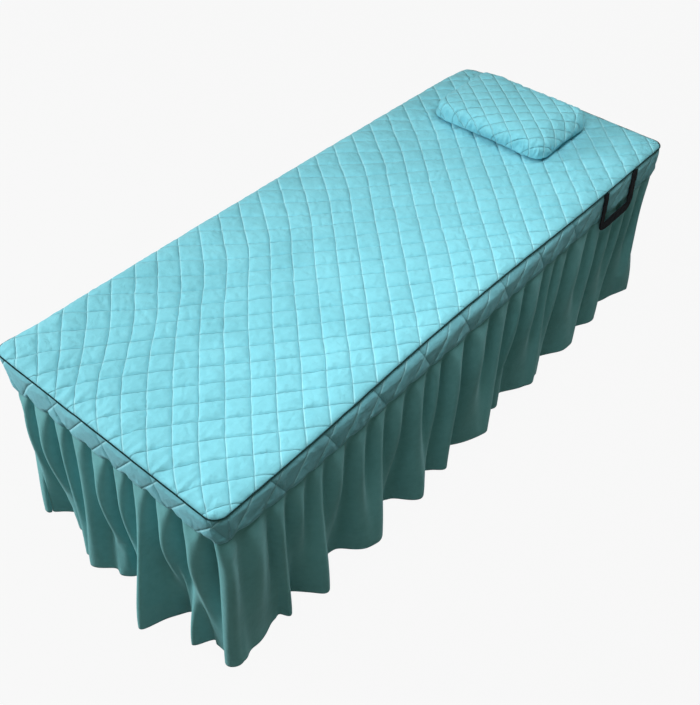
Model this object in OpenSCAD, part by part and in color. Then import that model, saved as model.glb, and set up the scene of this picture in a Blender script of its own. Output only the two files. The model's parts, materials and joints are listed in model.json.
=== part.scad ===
// Massage bed dressed in a quilted, skirted cover, with its pillow.
// Origin on the floor under the middle of the bed, +X towards the head, +Z up. Millimetres.

/* [Dressed bed] */
// Length over the cover's top edge, foot to head
bed_l = 1850; // [1600:1:2000]
// Width over the cover's top edge
bed_w = 706; // [600:1:800]
// Height of the quilted top above the floor
bed_h = 600; // [540:1:700]
// Corner radius of the cover's top
corner_r = 32; // [26:1:50]

/* [Quilted cover] */
// Thickness of the quilted top panel
quilt_t = 8; // [5:0.5:12]
// Thickness of the quilted band that drops round the sides
band_t = 5; // [3:0.5:6]
// Depth of the band, from the top of the quilt to the skirt's seam
band_h = 100; // [85:1:130]
// Slack between the band and the padded sides
ease = 2; // [1:0.5:4]
// Radius of the corded piping in the top seam
piping_r = 2.5; // [2:0.25:3.5]
// Height of the skirt's hem above the floor
hem_gap = 30; // [15:1:50]
// Thickness of the skirt's hemmed cloth
cloth_t = 3; // [2:0.5:4]
// How far the skirt hangs out past the top at the hem
flare = 38; // [28:1:45]
// Depth of the hem's folds, each way from the middle
hem_fold = 20; // [10:1:24]
// Number of folds down each long side
long_folds = 23; // [16:1:26]
// Number of folds across each end
end_folds = 8; // [5:1:10]

/* [Side strap] */
// Distance of the strap's middle from the head end
strap_from_head = 260; // [200:1:600]
// Distance between the strap's two ends
strap_span = 160; // [120:1:200]
// How far the strap hangs down
strap_drop = 124; // [100:1:140]
// Width of the webbing
strap_w = 18; // [14:1:25]
// Thickness of the webbing
strap_t = 3; // [2:0.5:4]

/* [Pillow] */
// Width of the pillow across the bed
pillow_w = 400; // [320:1:480]
// Depth of the pillow along the bed
pillow_d = 280; // [220:1:320]
// Thickness of the pillow over its rolled edges
pillow_t = 60; // [45:1:90]
// Rise of the pillow's crown above its edges
pillow_crown = 8; // [4:1:15]
// Distance of the pillow's far edge from the head end
pillow_from_head = 90; // [40:1:200]
// How far the pillow lies off the bed's middle
pillow_aside = 50; // [0:1:80]
// Thickness of the quilted pillowcase
case_t = 4; // [3:0.5:6]

/* [Padded top] */
// Thickness of the foam
foam_t = 60; // [40:1:80]
// Thickness of the plywood deck
board_t = 12; // [9:1:18]
// Thickness of the vinyl upholstery
vinyl_t = 1.2; // [0.8:0.1:2]
// Width of the vinyl turned under the deck
turn_under = 30; // [20:1:38]

/* [Steel frame] */
// Side of the square tube of the rails and legs
tube = 38; // [30:1:40]
// Wall of the rails' and legs' tube
tube_wall = 1.5; // [1.2:0.1:2]
// Distance of the frame in from the deck's edge
frame_inset = 45; // [42:1:60]
// Distance of the end legs' middles from the frame's ends
leg_setback = 85; // [75:1:150]
// Side of the square tube of the stretchers
stretcher = 25; // [20:1:30]
// Wall of the stretchers' tube
stretcher_wall = 1.2; // [1:0.1:2]
// Height of the stretchers' middles above the floor
stretcher_z = 150; // [110:1:250]
// Length of the plate welded on top of each leg
plate_l = 120; // [104:1:140]
// Thickness of the leg plates
plate_t = 4; // [3:0.5:6]

/* [Fasteners] */
// Radius of the leg bolts' shanks
bolt_r = 4; // [3:0.5:5]
// Distance of each leg bolt from its leg's middle
bolt_out = 42; // [38:1:46]
// Radius of the stretcher bolts' shanks
rod_r = 3; // [2.5:0.5:4]
// Radius of the deck screws' shanks
screw_r = 2.4; // [2:0.1:3]

/* [Levelling feet] */
// Radius of the foot pads
foot_r = 20; // [15:1:25]
// Height of the foot pads
foot_h = 14; // [10:1:20]
// Radius of the feet's threaded studs
stud_r = 4; // [3:0.5:5]
// Length of stud that shows above the pad when it is unscrewed
stud_l = 38; // [34:1:50]

/* [Hidden] */
running_gap = 0.05;     // round a stud or bolt in its thread
bolt_play = 0.2;        // round a bolt in a plain hole
rest_gap = 0.3;         // between pieces that rest on each other but part
groove_gap = 0.1;       // round the piping in its seam
cut = 1;                // overshoot of a cutting tool
steps = 8;              // flat strips in each fold of the skirt

pad_l = bed_l - 2 * (band_t + ease);
pad_w = bed_w - 2 * (band_t + ease);
pad_r = corner_r - band_t - ease;
pad_top = bed_h - quilt_t - rest_gap;
foam_top = pad_top - vinyl_t;
deck_top = foam_top - foam_t;
deck_z = deck_top - board_t;
deck_l = pad_l - 2 * vinyl_t;
deck_w = pad_w - 2 * vinyl_t;
deck_r = pad_r - vinyl_t;

frame_l = deck_l - 2 * frame_inset;
frame_w = deck_w - 2 * frame_inset;
rail_z = deck_z - tube;
leg_top = rail_z - plate_t;
leg_y = frame_w / 2 - tube / 2;
leg_x = frame_l / 2 - leg_setback;
tube_in = tube - 2 * tube_wall;
cross_x = [-frame_l / 4, 0, frame_l / 4];

insert_flange = 3;
insert_h = 25;
foot_gap = rest_gap;
leg_z = foot_h + foot_gap + insert_flange;
stud_set = foot_h / 2;  // length of stud moulded into the pad

nut_h = 6.5;
head_h = 5.3;
head_across = 3.25;     // a bolt head's width across flats, as a multiple of the shank's radius
end_plate_t = 3;        // plate that closes each end of a side stretcher
rod_bite = 6;           // length of rod past that plate
rod_head_h = 4;

tab_l = 30;
tab_t = 3;
screw_bite = 10;
screw_head_r = 4.5;
screw_head_h = 3;
tab_x = [-0.42, -0.14, 0.14, 0.42] * frame_l;
cap_lip = 2;
cap_plug = 18;

seam_z = bed_h - quilt_t;
skirt_z = bed_h - band_h;
piping_out = 1;         // how far the piping's middle stands outside the top's edge
top_lean = -1;          // the skirt's middle line at its seam, out from the top's edge
top_fold = 3;           // depth of the gathers at the seam, each way

strap_x = bed_l / 2 - strap_from_head;
strap_out = piping_out + piping_r + rest_gap + strap_t / 2;
strap_z = seam_z - piping_r - strap_t / 2;
strap_corner = 10;
// the strap leans out until its lower edge lies on the skirt's outermost folds
skirt_slope = (flare + hem_fold - top_lean - top_fold) / (skirt_z - hem_gap);
strap_foot = strap_z - strap_drop;
skirt_out = top_lean + top_fold + cloth_t / 2 + max(0, skirt_z - strap_foot) * skirt_slope;
strap_lean = atan((skirt_out + rest_gap + strap_t / 2 - strap_out) / strap_drop);
tab_depth = strap_out - strap_t / 2 - rest_gap;
tab_drop = 12;

pillow_edge = pillow_t / 2;
pillow_x = bed_l / 2 - pillow_from_head - pillow_d / 2;
pillow_z = bed_h + rest_gap + pillow_edge;

SIDES = ["right", "left"];
ENDS = ["foot", "middle", "head"];
LEGS = [for (e = ENDS) for (s = SIDES) str(e, "_", s)];
// middle of each leg, in the order of LEGS
LEG_AT = [for (x = [-leg_x, 0, leg_x]) for (y = [-leg_y, leg_y]) [x, y]];
HALVES = ["foot", "head"];
LINKS = [for (h = HALVES) for (s = SIDES) str(h, "_", s)];
LINK_AT = [for (x = [-leg_x / 2, leg_x / 2]) for (y = [-leg_y, leg_y]) [x, y]];

// ---- shared shapes ----

// Rectangle with round corners, centred
module round_rect(l, w, r) {
    square([l - 2 * r, w], center = true);
    square([l, w - 2 * r], center = true);
    for (x = [-1, 1]) for (y = [-1, 1])
        translate([x * (l / 2 - r), y * (w / 2 - r)]) circle(r, $fn = 64);
}

// Flat plate with round corners, its underside at z
module plate(l, w, r, z, t) {
    translate([0, 0, z]) linear_extrude(t) round_rect(l, w, r);
}

// Square tube along X, centred
module tube_x(l, side, wall) {
    difference() {
        cube([l, side, side], center = true);
        cube([l + 2 * cut, side - 2 * wall, side - 2 * wall], center = true);
    }
}

// Square tube along Z, standing at z = 0
module tube_z(h, side, wall) {
    translate([0, 0, h / 2]) rotate([0, 90, 0]) tube_x(h, side, wall);
}

// Hexagon across its flats, standing at z = 0
module hexagon(across, h) {
    cylinder(h, r = across / 2 / cos(30), $fn = 6);
}

module hole(r, h) {
    translate([0, 0, -cut]) cylinder(h + 2 * cut, r = r, $fn = 32);
}

// ---- padded top ----

module plywood_deck() {
    color("burlywood") difference() {
        plate(deck_l, deck_w, deck_r, deck_z, board_t);
        screw_places() hole(screw_r + running_gap, screw_bite - cut);
    }
}

module foam_pad() {
    color("lightyellow") plate(deck_l, deck_w, deck_r, deck_top, foam_t);
}

module vinyl_upholstery() {
    color("ivory") difference() {
        plate(pad_l, pad_w, pad_r, deck_z - vinyl_t, pad_top - deck_z + vinyl_t);
        plate(deck_l, deck_w, deck_r, deck_z, foam_top - deck_z);
        plate(pad_l - 2 * turn_under, pad_w - 2 * turn_under, pad_r, deck_z - vinyl_t - cut, 2 * cut + vinyl_t);
    }
}

// ---- steel frame ----

// Each leg bolt's axis, at the leg plate's underside
module bolt_places(at) {
    for (x = [-bolt_out, bolt_out]) translate([at[0] + x, at[1], leg_top]) children();
}

// Each deck screw's axis, at the deck's underside
module screw_places() {
    for (x = tab_x) for (y = [-1, 1])
        translate([x, y * (leg_y - tube / 2 - tab_l / 2), deck_z]) children();
}

module side_rail(y) {
    color("gainsboro") difference() {
        translate([0, y, rail_z + tube / 2]) tube_x(frame_l, tube, tube_wall);
        for (x = [-leg_x, 0, leg_x]) bolt_places([x, y])
            hole(bolt_r + bolt_play, plate_t + tube_wall);
    }
}

module end_rail(x) {
    color("gainsboro") translate([x, 0, rail_z + tube / 2]) rotate([0, 0, 90])
        tube_x(frame_w - 2 * tube, tube, tube_wall);
}

module rail_caps() {
    color("dimgray") for (x = [-1, 1]) for (y = [-leg_y, leg_y])
        translate([x * (frame_l / 2 + cap_lip / 2), y, rail_z + tube / 2]) {
            cube([cap_lip, tube, tube], center = true);
            translate([-x * (cap_lip + cap_plug) / 2, 0, 0])
                cube([cap_plug, tube_in, tube_in], center = true);
        }
}

module deck_tabs() {
    color("gainsboro") difference() {
        screw_places() translate([0, 0, -tab_t / 2]) cube([tab_l, tab_l, tab_t], center = true);
        screw_places() translate([0, 0, -tab_t]) hole(screw_r + bolt_play, tab_t);
    }
}

module deck_screws() {
    color("silver") screw_places() {
        translate([0, 0, -tab_t]) cylinder(tab_t + screw_bite - cut, r = screw_r, $fn = 32);
        translate([0, 0, -tab_t - screw_head_h]) cylinder(screw_head_h, r = screw_head_r, $fn = 32);
    }
}

module leg(at) {
    color("gainsboro") difference() {
        union() {
            translate([at[0], at[1], leg_z]) tube_z(leg_top - leg_z, tube, tube_wall);
            translate([at[0], at[1], leg_top + plate_t / 2]) cube([plate_l, tube, plate_t], center = true);
        }
        bolt_places(at) hole(bolt_r + bolt_play, plate_t);
        translate([at[0] - tube, at[1], stretcher_z]) rotate([0, 90, 0]) hole(rod_r + bolt_play, 2 * tube);
    }
}

module leg_bolts() {
    color("silver") for (at = LEG_AT) bolt_places(at) {
        cylinder(plate_t + tube_wall + nut_h + cut, r = bolt_r, $fn = 32);
        translate([0, 0, -head_h]) hexagon(head_across * bolt_r, head_h);
    }
}

module weld_nuts() {
    color("silver") for (at = LEG_AT) bolt_places(at) translate([0, 0, plate_t + tube_wall])
        difference() {
            hexagon(head_across * bolt_r, nut_h);
            hole(bolt_r + running_gap, nut_h);
        }
}

module end_stretcher(x) {
    color("gainsboro") translate([x, 0, stretcher_z]) rotate([0, 0, 90])
        tube_x(2 * leg_y - tube, stretcher, stretcher_wall);
}

link_l = leg_x - tube;

// Stretcher between two legs on one side, with a tapped plate in each end
module side_stretcher(at) {
    color("gainsboro") translate([at[0], at[1], stretcher_z]) difference() {
        union() {
            tube_x(link_l, stretcher, stretcher_wall);
            for (x = [-1, 1]) translate([x * (link_l - end_plate_t) / 2, 0, 0])
                cube([end_plate_t, stretcher - stretcher_wall, stretcher - stretcher_wall], center = true);
        }
        rotate([0, 90, 0]) translate([0, 0, -link_l / 2]) hole(rod_r + running_gap, link_l);
    }
}

// Bolts through the end legs and double-ended rods through the middle legs
module stretcher_bolts() {
    bite = end_plate_t + rod_bite;
    color("silver") for (y = [-leg_y, leg_y]) {
        for (x = [-1, 1]) translate([x * (leg_x + tube / 2), y, stretcher_z]) rotate([0, x * 90, 0]) {
            hexagon(head_across * rod_r, rod_head_h);
            translate([0, 0, -tube - bite]) cylinder(tube + bite, r = rod_r, $fn = 32);
        }
        translate([-tube / 2 - bite, y, stretcher_z]) rotate([0, 90, 0])
            cylinder(tube + 2 * bite, r = rod_r, $fn = 32);
    }
}

// ---- levelling feet ----

// Plastic inserts that close the legs and take the studs
module foot_inserts() {
    color("dimgray") for (at = LEG_AT) translate([at[0], at[1], leg_z - insert_flange]) difference() {
        union() {
            translate([0, 0, insert_flange / 2]) cube([tube, tube, insert_flange], center = true);
            translate([0, 0, insert_h / 2]) cube([tube_in, tube_in, insert_h], center = true);
        }
        hole(stud_r + running_gap, insert_h);
    }
}

module foot_pad(at) {
    color("dimgray") translate([at[0], at[1], 0]) difference() {
        cylinder(foot_h, r1 = foot_r, r2 = foot_r * 0.85, $fn = 48);
        translate([0, 0, foot_h - stud_set]) hole(stud_r, stud_set);
        translate([0, 0, foot_h - stud_set - cut]) cylinder(cut, r = stud_r, $fn = 32);
    }
}

module foot_stud(at) {
    color("silver") translate([at[0], at[1], foot_h - stud_set - cut])
        cylinder(stud_set + cut + stud_l, r = stud_r, $fn = 32);
}

// ---- quilted cover ----

// Piping of radius r, round the seam of the top
module piping_ring(r) {
    arc_r = corner_r + piping_out;
    x = bed_l / 2 - corner_r;
    y = bed_w / 2 - corner_r;
    translate([0, 0, seam_z]) {
        for (s = [-1, 1]) {
            translate([-x, s * (y + arc_r), 0]) rotate([0, 90, 0]) cylinder(2 * x, r = r, $fn = 24);
            translate([s * (x + arc_r), -y, 0]) rotate([-90, 0, 0]) cylinder(2 * y, r = r, $fn = 24);
        }
        for (k = [0:3]) translate([(k == 0 || k == 3 ? x : -x), (k < 2 ? y : -y), 0]) rotate([0, 0, 90 * k])
            rotate_extrude(angle = 90, $fn = 64) translate([arc_r, 0]) circle(r, $fn = 24);
    }
}

module piping() {
    color("darkslategray") piping_ring(piping_r);
}

module cover_top() {
    color("mediumturquoise") difference() {
        plate(bed_l, bed_w, corner_r, seam_z, quilt_t);
        piping_ring(piping_r + groove_gap);
    }
}

// The whole band, before it is divided at its corner seams
module band_ring() {
    difference() {
        plate(bed_l, bed_w, corner_r, skirt_z, seam_z - skirt_z);
        plate(bed_l - 2 * band_t, bed_w - 2 * band_t, corner_r - band_t, skirt_z - cut, band_h);
        piping_ring(piping_r + groove_gap);
    }
}

module band_side(side) {
    color("mediumturquoise") intersection() {
        band_ring();
        translate([0, side * bed_w / 2, skirt_z + band_h / 2])
            cube([bed_l + 2 * cut, 2 * corner_r, band_h + 2 * cut], center = true);
    }
}

module band_end(end) {
    color("mediumturquoise") intersection() {
        band_ring();
        translate([end * bed_l / 2, 0, skirt_z + band_h / 2])
            cube([2 * corner_r, bed_w - 2 * corner_r, band_h + 2 * cut], center = true);
    }
}

// Stations along the skirt: [x, y, direction out, phase of the fold]
function straight_run(from, to, out, folds) =
    [for (i = [0 : folds * steps]) let (t = i / (folds * steps))
        [from[0] + (to[0] - from[0]) * t, from[1] + (to[1] - from[1]) * t, out, 360 * folds * t]];
function corner_run(at, from, to) =
    [for (i = [0 : steps]) let (a = from + (to - from) * i / steps)
        [at[0] + corner_r * cos(a), at[1] + corner_r * sin(a), a, 360 * i / steps]];
function tail(list) = [for (i = [1 : len(list) - 1]) list[i]];

// A point of the skirt: out from a station by the fold's depth there, at one face of the cloth
function skirt_point(s, lean, fold, face, z) =
    let (d = lean + fold * cos(s[3]) + face * cloth_t / 2) [s[0] + d * cos(s[2]), s[1] + d * sin(s[2]), z];

module skirt_panel(stations) {
    n = len(stations);
    hem_z = hem_gap;
    points = [for (s = stations) each [
        skirt_point(s, top_lean, top_fold, 1, skirt_z), skirt_point(s, flare, hem_fold, 1, hem_z),
        skirt_point(s, flare, hem_fold, -1, hem_z), skirt_point(s, top_lean, top_fold, -1, skirt_z)]];
    // the four strips between two stations go round the cloth: outside, hem, inside, seam;
    // the inside (2) is divided along the outside's diagonal, so that the cloth keeps its thickness
    strips = [for (i = [0 : n - 2]) for (k = [0 : 3]) let (a = 4 * i + k, b = 4 * i + (k + 1) % 4)
        each (k == 2 ? [[a, b, a + 4], [b, b + 4, a + 4]] : [[a, b, b + 4], [a, b + 4, a + 4]])];
    last = 4 * (n - 1);
    ends = [[3, 2, 1], [3, 1, 0], [last, last + 1, last + 2], [last, last + 2, last + 3]];
    color("teal") polyhedron(points, concat(strips, ends), convexity = 10);
}

side_x = bed_l / 2 - corner_r;
end_y = bed_w / 2 - corner_r;

// Long side with its two corners; the far side is the near one turned half round
module skirt_side(turn) {
    rotate([0, 0, turn]) skirt_panel(concat(
        corner_run([-side_x, -end_y], 180, 270),
        tail(straight_run([-side_x, -bed_w / 2], [side_x, -bed_w / 2], 270, long_folds)),
        tail(corner_run([side_x, -end_y], 270, 360))));
}

module skirt_end(turn) {
    rotate([0, 0, turn]) skirt_panel(
        straight_run([bed_l / 2, -end_y], [bed_l / 2, end_y], 0, end_folds));
}

// ---- side strap ----

// The strap's outline, hanging from y = 0, its middle at x = 0
module strap_outline() {
    difference() {
        translate([0, -strap_drop / 2]) round_rect(strap_span + strap_w, strap_drop, strap_corner);
        translate([0, -strap_drop / 2 + strap_w]) square([strap_span - strap_w, strap_drop], center = true);
        translate([0, -strap_corner / 2]) square([strap_span + strap_w + cut, strap_corner], center = true);
    }
    for (x = [-1, 1]) translate([x * strap_span / 2, -strap_corner / 2])
        square([strap_w, strap_corner], center = true);
}

module side_strap() {
    color("black") translate([strap_x, -bed_w / 2 - strap_out, strap_z]) rotate([90 - strap_lean, 0, 0]) {
        translate([0, 0, -strap_t / 2]) linear_extrude(strap_t) strap_outline();
        for (x = [-1, 1]) translate([x * strap_span / 2 - strap_w / 2, 0, 0]) rotate([0, 90, 0])
            cylinder(strap_w, r = strap_t / 2, $fn = 32);
    }
}

module strap_tabs() {
    color("black") for (x = [-1, 1])
        translate([strap_x + x * strap_span / 2 - strap_w / 2, -bed_w / 2 - tab_depth, strap_z - tab_drop + strap_t / 2])
            cube([strap_w, tab_depth, tab_drop]);
}

// ---- pillow ----

// Cushion shape, drawn in by inset on every side
module pillow_body(inset) {
    r = pillow_edge - inset;
    x = pillow_d / 2 - pillow_edge;
    y = pillow_w / 2 - pillow_edge;
    translate([pillow_x, pillow_aside, pillow_z]) hull() {
        for (sx = [-1, 1]) for (sy = [-1, 1]) translate([sx * x, sy * y, 0]) sphere(r, $fn = 24);
        translate([0, 0, pillow_edge - inset]) linear_extrude(pillow_crown) round_rect(x, y, x / 3);
    }
}

module pillowcase() {
    color("mediumturquoise") difference() {
        pillow_body(0);
        pillow_body(case_t);
    }
}

module pillow_filling() {
    color("white") pillow_body(case_t + groove_gap);
}

// ---- the pieces ----

plywood_deck();
foam_pad();
vinyl_upholstery();
end_rail(-frame_l / 2 + tube / 2);  // end_rail_foot
end_rail(frame_l / 2 - tube / 2);  // end_rail_head
deck_tabs();
deck_screws();
rail_caps();
leg_bolts();
weld_nuts();
stretcher_bolts();
foot_inserts();
cover_top();
piping();
band_side(-1);  // band_right
band_side(1);  // band_left
band_end(-1);  // band_foot
band_end(1);  // band_head
skirt_side(0);  // skirt_right
skirt_side(180);  // skirt_left
skirt_end(0);  // skirt_head
skirt_end(180);  // skirt_foot
strap_tabs();
side_strap();
pillowcase();
pillow_filling();
for (i = [0 : 1])
    side_rail((2 * i - 1) * leg_y);
for (i = [0 : 2]) {
    end_rail(cross_x[i]);
    end_stretcher((i - 1) * leg_x);
}
for (i = [0 : len(LINKS) - 1])
    side_stretcher(LINK_AT[i]);
for (i = [0 : len(LEGS) - 1]) {
    leg(LEG_AT[i]);
    foot_pad(LEG_AT[i]);
    foot_stud(LEG_AT[i]);
}
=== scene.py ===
import json
import math

import bmesh
import bpy
import numpy as np
from mathutils import Matrix, Vector, noise


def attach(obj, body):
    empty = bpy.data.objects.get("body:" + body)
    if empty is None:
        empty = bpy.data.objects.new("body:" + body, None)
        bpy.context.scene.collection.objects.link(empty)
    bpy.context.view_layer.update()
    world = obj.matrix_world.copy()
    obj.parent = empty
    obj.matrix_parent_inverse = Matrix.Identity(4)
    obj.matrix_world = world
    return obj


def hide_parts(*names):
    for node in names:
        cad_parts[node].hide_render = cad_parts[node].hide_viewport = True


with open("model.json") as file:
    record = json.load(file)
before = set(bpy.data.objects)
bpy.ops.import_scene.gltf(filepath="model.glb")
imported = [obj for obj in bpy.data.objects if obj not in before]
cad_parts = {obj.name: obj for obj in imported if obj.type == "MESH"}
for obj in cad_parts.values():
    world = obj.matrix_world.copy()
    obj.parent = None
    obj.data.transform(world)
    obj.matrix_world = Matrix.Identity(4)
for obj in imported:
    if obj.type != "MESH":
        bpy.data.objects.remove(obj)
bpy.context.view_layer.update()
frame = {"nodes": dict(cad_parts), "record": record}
scene = bpy.context.scene
scene.view_settings.view_transform = "Standard"

# ---- sizes shared by the pieces, in metres ----
# x runs from the foot end to the head end; the right side, with the strap, faces -y; the floor is at z = 0

TOP_L, TOP_W, TOP_Z = 1.850, 0.706, 0.600
HALF_L, HALF_W = TOP_L / 2, TOP_W / 2
CORNER = 0.032              # corner radius of the cover's top
SEAM_Z = 0.592              # height of the corded seam
BAND_FOOT_Z = 0.500         # height of the skirt's seam
HEM_Z = 0.030
BAND_THICK, SKIRT_THICK = 0.0045, 0.0012
PIPING_R = 0.0017
LINE_A, LINE_B = math.radians(46), math.radians(-40)    # directions of the two families of quilting lines
STEP_A, STEP_B = 0.0540, 0.0578                          # spacing of the crossings along each family
SQUARES = 36                # quilted squares along each side of the sheet that the top is cut from
FINE = 15                   # mesh cells along each side of a quilted square
WELD = 1e-5                 # points nearer than this are one point


# ---- small helpers ----

def smooth(t):
    """0 below 0, 1 above 1 and a soft step between them."""
    t = min(1.0, max(0.0, t))
    return t * t * (3 - 2 * t)


def uneven(*place):
    """A soft random value between about -1 and 1 that depends on the place alone."""
    return noise.noise(Vector(place))


def link_mesh(name, bm):
    """Makes an object of a bmesh, which is kept, and links it to the scene."""
    mesh = bpy.data.meshes.new(name)
    bm.to_mesh(mesh)
    made = bpy.data.objects.new(name, mesh)
    scene.collection.objects.link(made)
    return made


def piece(name, bm, material, body, slot, *nodes):
    """Turns a bmesh into a finished piece that rides on a body and stands for CAD nodes."""
    made = link_mesh(name, bm)
    bm.free()
    for face in made.data.polygons:
        face.use_smooth = True
    made.data.materials.append(material)
    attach(made, body)
    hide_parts(*nodes)
    return made


def add_modifier(made, kind, **values):
    modifier = made.modifiers.new(kind.lower(), kind)
    for key, value in values.items():
        setattr(modifier, key, value)


def all_parts(bm):
    return bm.verts[:] + bm.edges[:] + bm.faces[:]


def only_verts(parts):
    return [part for part in parts if isinstance(part, bmesh.types.BMVert)]


def box(bm, size, middle):
    """Adds a box and returns its corners."""
    made = bmesh.ops.create_cube(bm, size=1.0)["verts"]
    bmesh.ops.scale(bm, vec=size, verts=made)
    bmesh.ops.translate(bm, vec=middle, verts=made)
    return made


def bevel(bm, edges, radius, segments):
    bmesh.ops.bevel(bm, geom=edges, offset=radius, segments=segments, profile=0.5, affect="EDGES",
                    material=-1)


def weld(bm):
    bmesh.ops.remove_doubles(bm, verts=bm.verts[:], dist=WELD)


def face_out(bm):
    bmesh.ops.recalc_face_normals(bm, faces=bm.faces[:])


# ---- materials ----

class Shader:
    """A Principled material with short calls for its nodes."""

    def __init__(self, name, roughness, **sockets):
        self.made = bpy.data.materials.new(name)
        self.made.use_nodes = True
        self.nodes, self.links = self.made.node_tree.nodes, self.made.node_tree.links
        self.main = self.nodes["Principled BSDF"]
        self.main.inputs["Roughness"].default_value = roughness
        for key, value in sockets.items():
            self.main.inputs[key.replace("_", " ")].default_value = value

    def add(self, kind, **values):
        node = self.nodes.new("ShaderNode" + kind)
        for key, value in values.items():
            if key in node.inputs:
                node.inputs[key].default_value = value
            else:
                setattr(node, key, value)
        return node

    def link(self, source, target):
        self.links.new(source, target)

    def fill(self, socket, value):
        """Sets a socket to a number or a colour, or links it to another socket."""
        if isinstance(value, (int, float)):
            socket.default_value = value
        elif isinstance(value, tuple):
            socket.default_value = (*value, 1)
        else:
            self.link(value, socket)

    def place(self, scale=(1, 1, 1)):
        mapping = self.add("Mapping")
        mapping.inputs["Scale"].default_value = scale
        self.link(self.add("TexCoord").outputs["Object"], mapping.inputs["Vector"])
        return mapping.outputs["Vector"]

    def noise(self, scale, detail=2.0, stretch=(1, 1, 1), roughness=0.5, **values):
        node = self.add("TexNoise", Scale=scale, Detail=detail, Roughness=roughness, **values)
        self.link(self.place(stretch), node.inputs["Vector"])
        return node.outputs["Fac"]

    def math(self, operation, a, b, clamp=False):
        node = self.add("Math", operation=operation, use_clamp=clamp)
        self.fill(node.inputs[0], a)
        self.fill(node.inputs[1], b)
        return node.outputs[0]

    def near(self, distance, reach):
        """1 at no distance, falling to 0 at the reach."""
        return self.math("SUBTRACT", 1.0, self.math("DIVIDE", distance, reach), clamp=True)

    def ramp(self, factor, *stops):
        node = self.add("ValToRGB")
        ends = node.color_ramp.elements
        while len(ends) < len(stops):
            ends.new(0.5)
        for end, (position, colour) in zip(ends, stops):
            end.position, end.color = position, (*colour, 1)
        self.link(factor, node.inputs["Fac"])
        return node.outputs["Color"]

    def mix(self, factor, a, b):
        node = self.add("Mix", data_type="RGBA", blend_type="MIX")
        for key, value in (("Factor", factor), ("A", a), ("B", b)):
            self.fill(node.inputs[key], value)
        return node.outputs["Result"]

    def colour(self, source):
        self.link(source, self.main.inputs["Base Color"])

    def bump(self, height, distance, strength):
        """Lays a bump over the ones added before it."""
        node = self.add("Bump", Distance=distance, Strength=strength)
        self.link(height, node.inputs["Height"])
        if self.main.inputs["Normal"].is_linked:
            self.link(self.main.inputs["Normal"].links[0].from_socket, node.inputs["Normal"])
        self.link(node.outputs["Normal"], self.main.inputs["Normal"])


QUILT_DARK, QUILT_MID, QUILT_LIGHT = (0.165, 0.495, 0.590), (0.197, 0.565, 0.675), (0.228, 0.622, 0.735)
# the skirt's colours are the quilted cloth's, made darker and greener: painted shade, as the skirt hangs in
# shade
SKIRT_SHADED_DARK, SKIRT_SHADED_MID, SKIRT_SHADED_LIGHT = (0.128, 0.390, 0.412), (0.158, 0.460, 0.490), (0.184, 0.515, 0.545)
# the first colour is painted shade along one family of quilting lines, the second a painted highlight beside
# the other family's lines
PAINTED_LINE_SHADE, PAINTED_LINE_HIGHLIGHT = (0.100, 0.330, 0.385), (0.400, 0.780, 0.860)
# across a quilting line, counted in squares
THREAD_REACH, GROOVE_REACH = 0.022, 0.075
SHINE_SIDE, SHINE_REACH = 0.034, 0.038      # a painted highlight along the lit edge beside each line of one family
STITCHES = 17.0                             # stitches along the side of a square


def brushed_cloth(name, dark, mid, light):
    """Brushed polyester with a fine weave and the faint cloudiness of its nap; returns it with its colour."""
    s = Shader(name, 0.75, Sheen_Weight=0.16, Sheen_Roughness=0.5, Specular_IOR_Level=0.25)
    s.main.inputs["Sheen Tint"].default_value = (0.75, 0.95, 1.0, 1)
    cloud = s.math("ADD", s.math("MULTIPLY", s.noise(7, 4), 0.6), s.math("MULTIPLY", s.noise(60, 3), 0.4))
    nap = s.ramp(cloud, (0.30, dark), (0.5, mid), (0.72, light))
    colour = s.mix(0.12, nap, s.ramp(s.noise(900, 2), (0.35, dark), (0.65, light)))
    s.bump(s.noise(1400, 2), 0.0003, 0.5)
    s.bump(s.noise(160, 3), 0.0012, 0.35)
    return s, colour


def gathered_cloth_shaded():
    # the skirt's darker, greener colours are painted shade over the same cloth as the top
    s, colour = brushed_cloth("gathered_cloth_shaded", SKIRT_SHADED_DARK, SKIRT_SHADED_MID, SKIRT_SHADED_LIGHT)
    s.colour(colour)
    return s.made


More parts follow.
